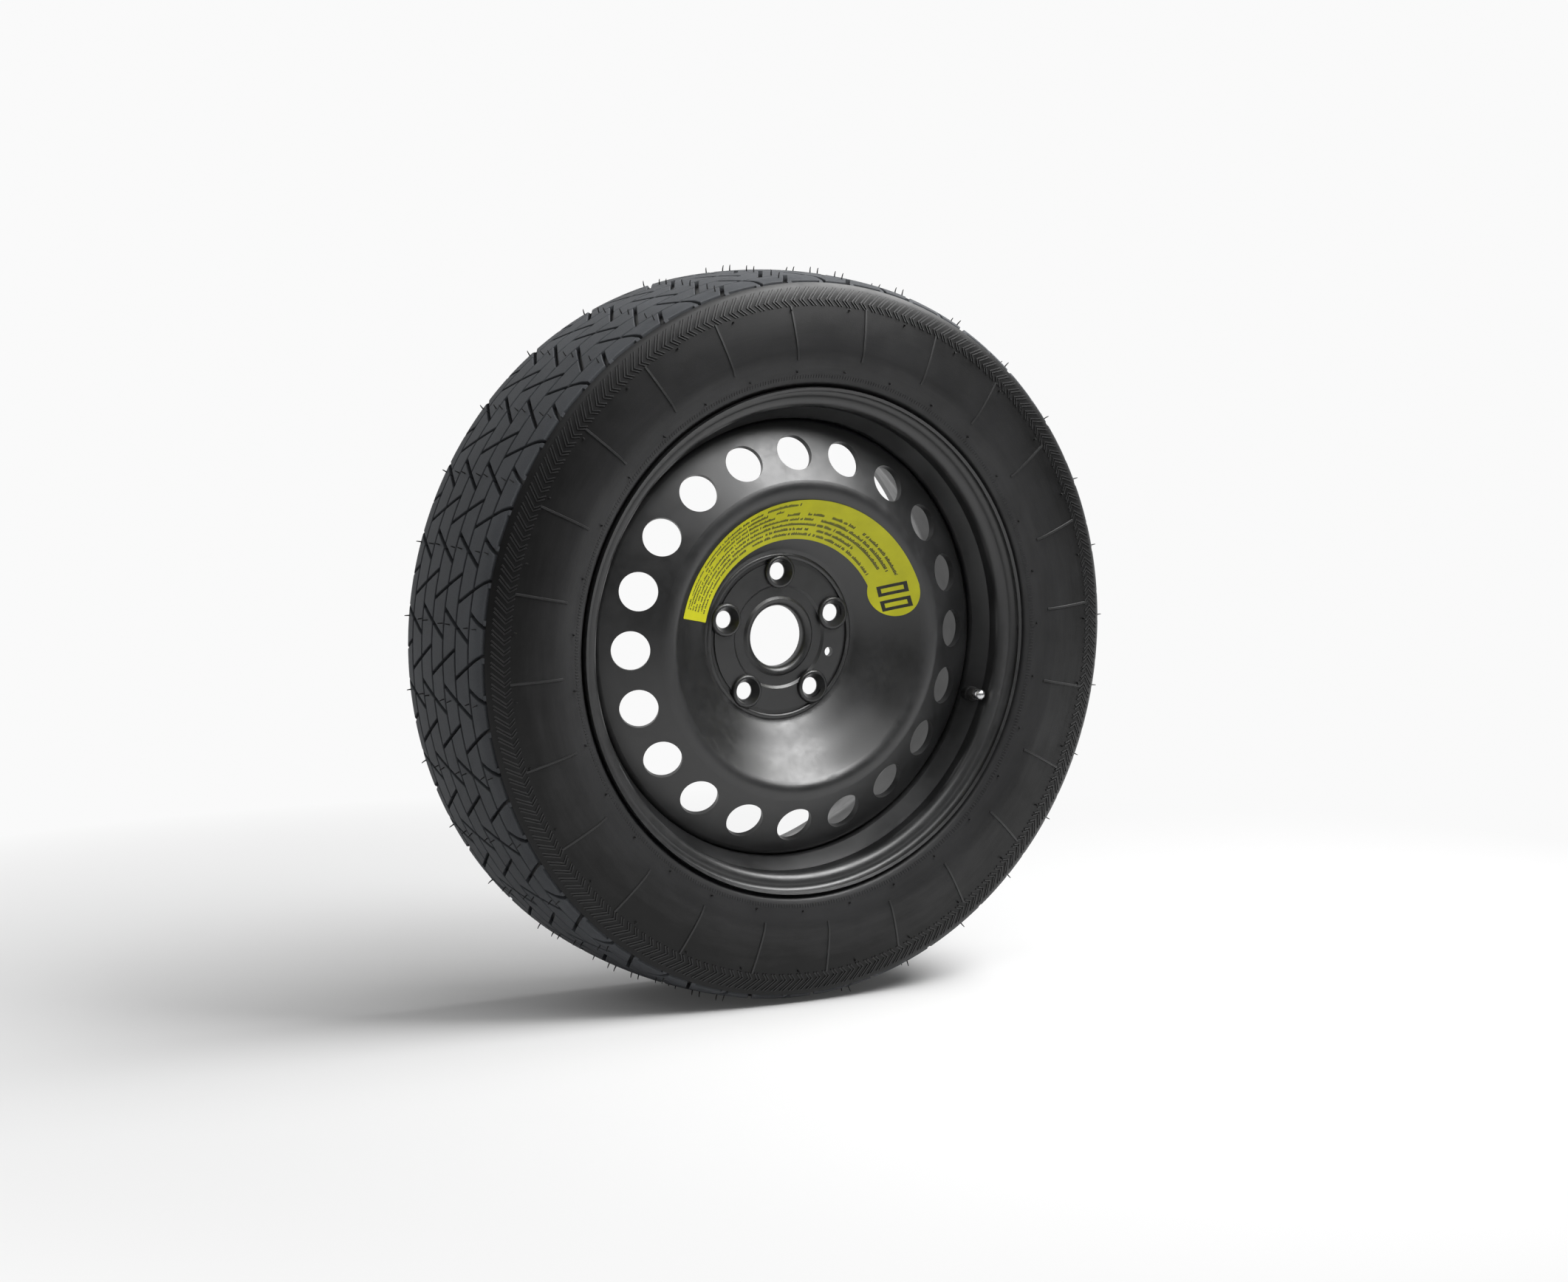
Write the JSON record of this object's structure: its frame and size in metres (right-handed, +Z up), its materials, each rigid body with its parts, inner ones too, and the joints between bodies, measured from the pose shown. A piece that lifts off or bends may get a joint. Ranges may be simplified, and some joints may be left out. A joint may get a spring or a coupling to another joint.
{
  "type": "space saver spare wheel",
  "caption": "Narrow temporary spare wheel: a pressed steel disc and rim with round vents, a bolt circle in a deep dish, a slim block-tread tyre, a snap-in valve and a plain label.",
  "frame": {"origin": "middle of the tyre, on the spin axis", "axes": "+Y along the spin axis into the car, +Z up, so the outer face looks towards -Y"},
  "size_m": [0.6264, 0.172, 0.6264],
  "materials": {
    "tyre": "matt to satin rubber with a fine mould texture",
    "wheel_paint": "satin black paint on pressed steel",
    "label": "matt printed film",
    "valve_rubber": "smooth moulded rubber",
    "valve_brass": "turned",
    "core_gasket": "moulded",
    "core_spring": "drawn wire",
    "valve_cap": "bright plated"
  },
  "bodies": {
    "wheel": {"tyre": "tyre", "rim": "wheel_paint", "disc": "wheel_paint", "disc_welds": "wheel_paint", "label": "label", "valve_stem": "valve_rubber", "valve_insert": "valve_brass", "core_plug": "valve_brass", "core_barrel": "valve_brass", "core_gasket": "core_gasket", "core_spring": "core_spring"},
    "cap": {"valve_cap": "valve_cap", "cap_seal": "valve_rubber"},
    "valve_pin": {"core_pin": "valve_brass", "core_cup": "valve_brass", "core_seal": "valve_rubber"}
  },
  "joints": [
    {"name": "cap_unscrew", "type": "hinge", "parent": "wheel", "child": "cap", "pos_m": [0.18373, -0.0481, -0.0597], "axis": [-0.2621, -0.9613, 0.0852], "range_deg": [0, 1980]},
    {"name": "pin_press", "type": "slide", "parent": "wheel", "child": "valve_pin", "axis": [0.2621, 0.9613, -0.0852], "range_m": [0, 0.0012], "stiffness_N_per_m": 900, "deforming": ["core_spring"]}
  ]
}
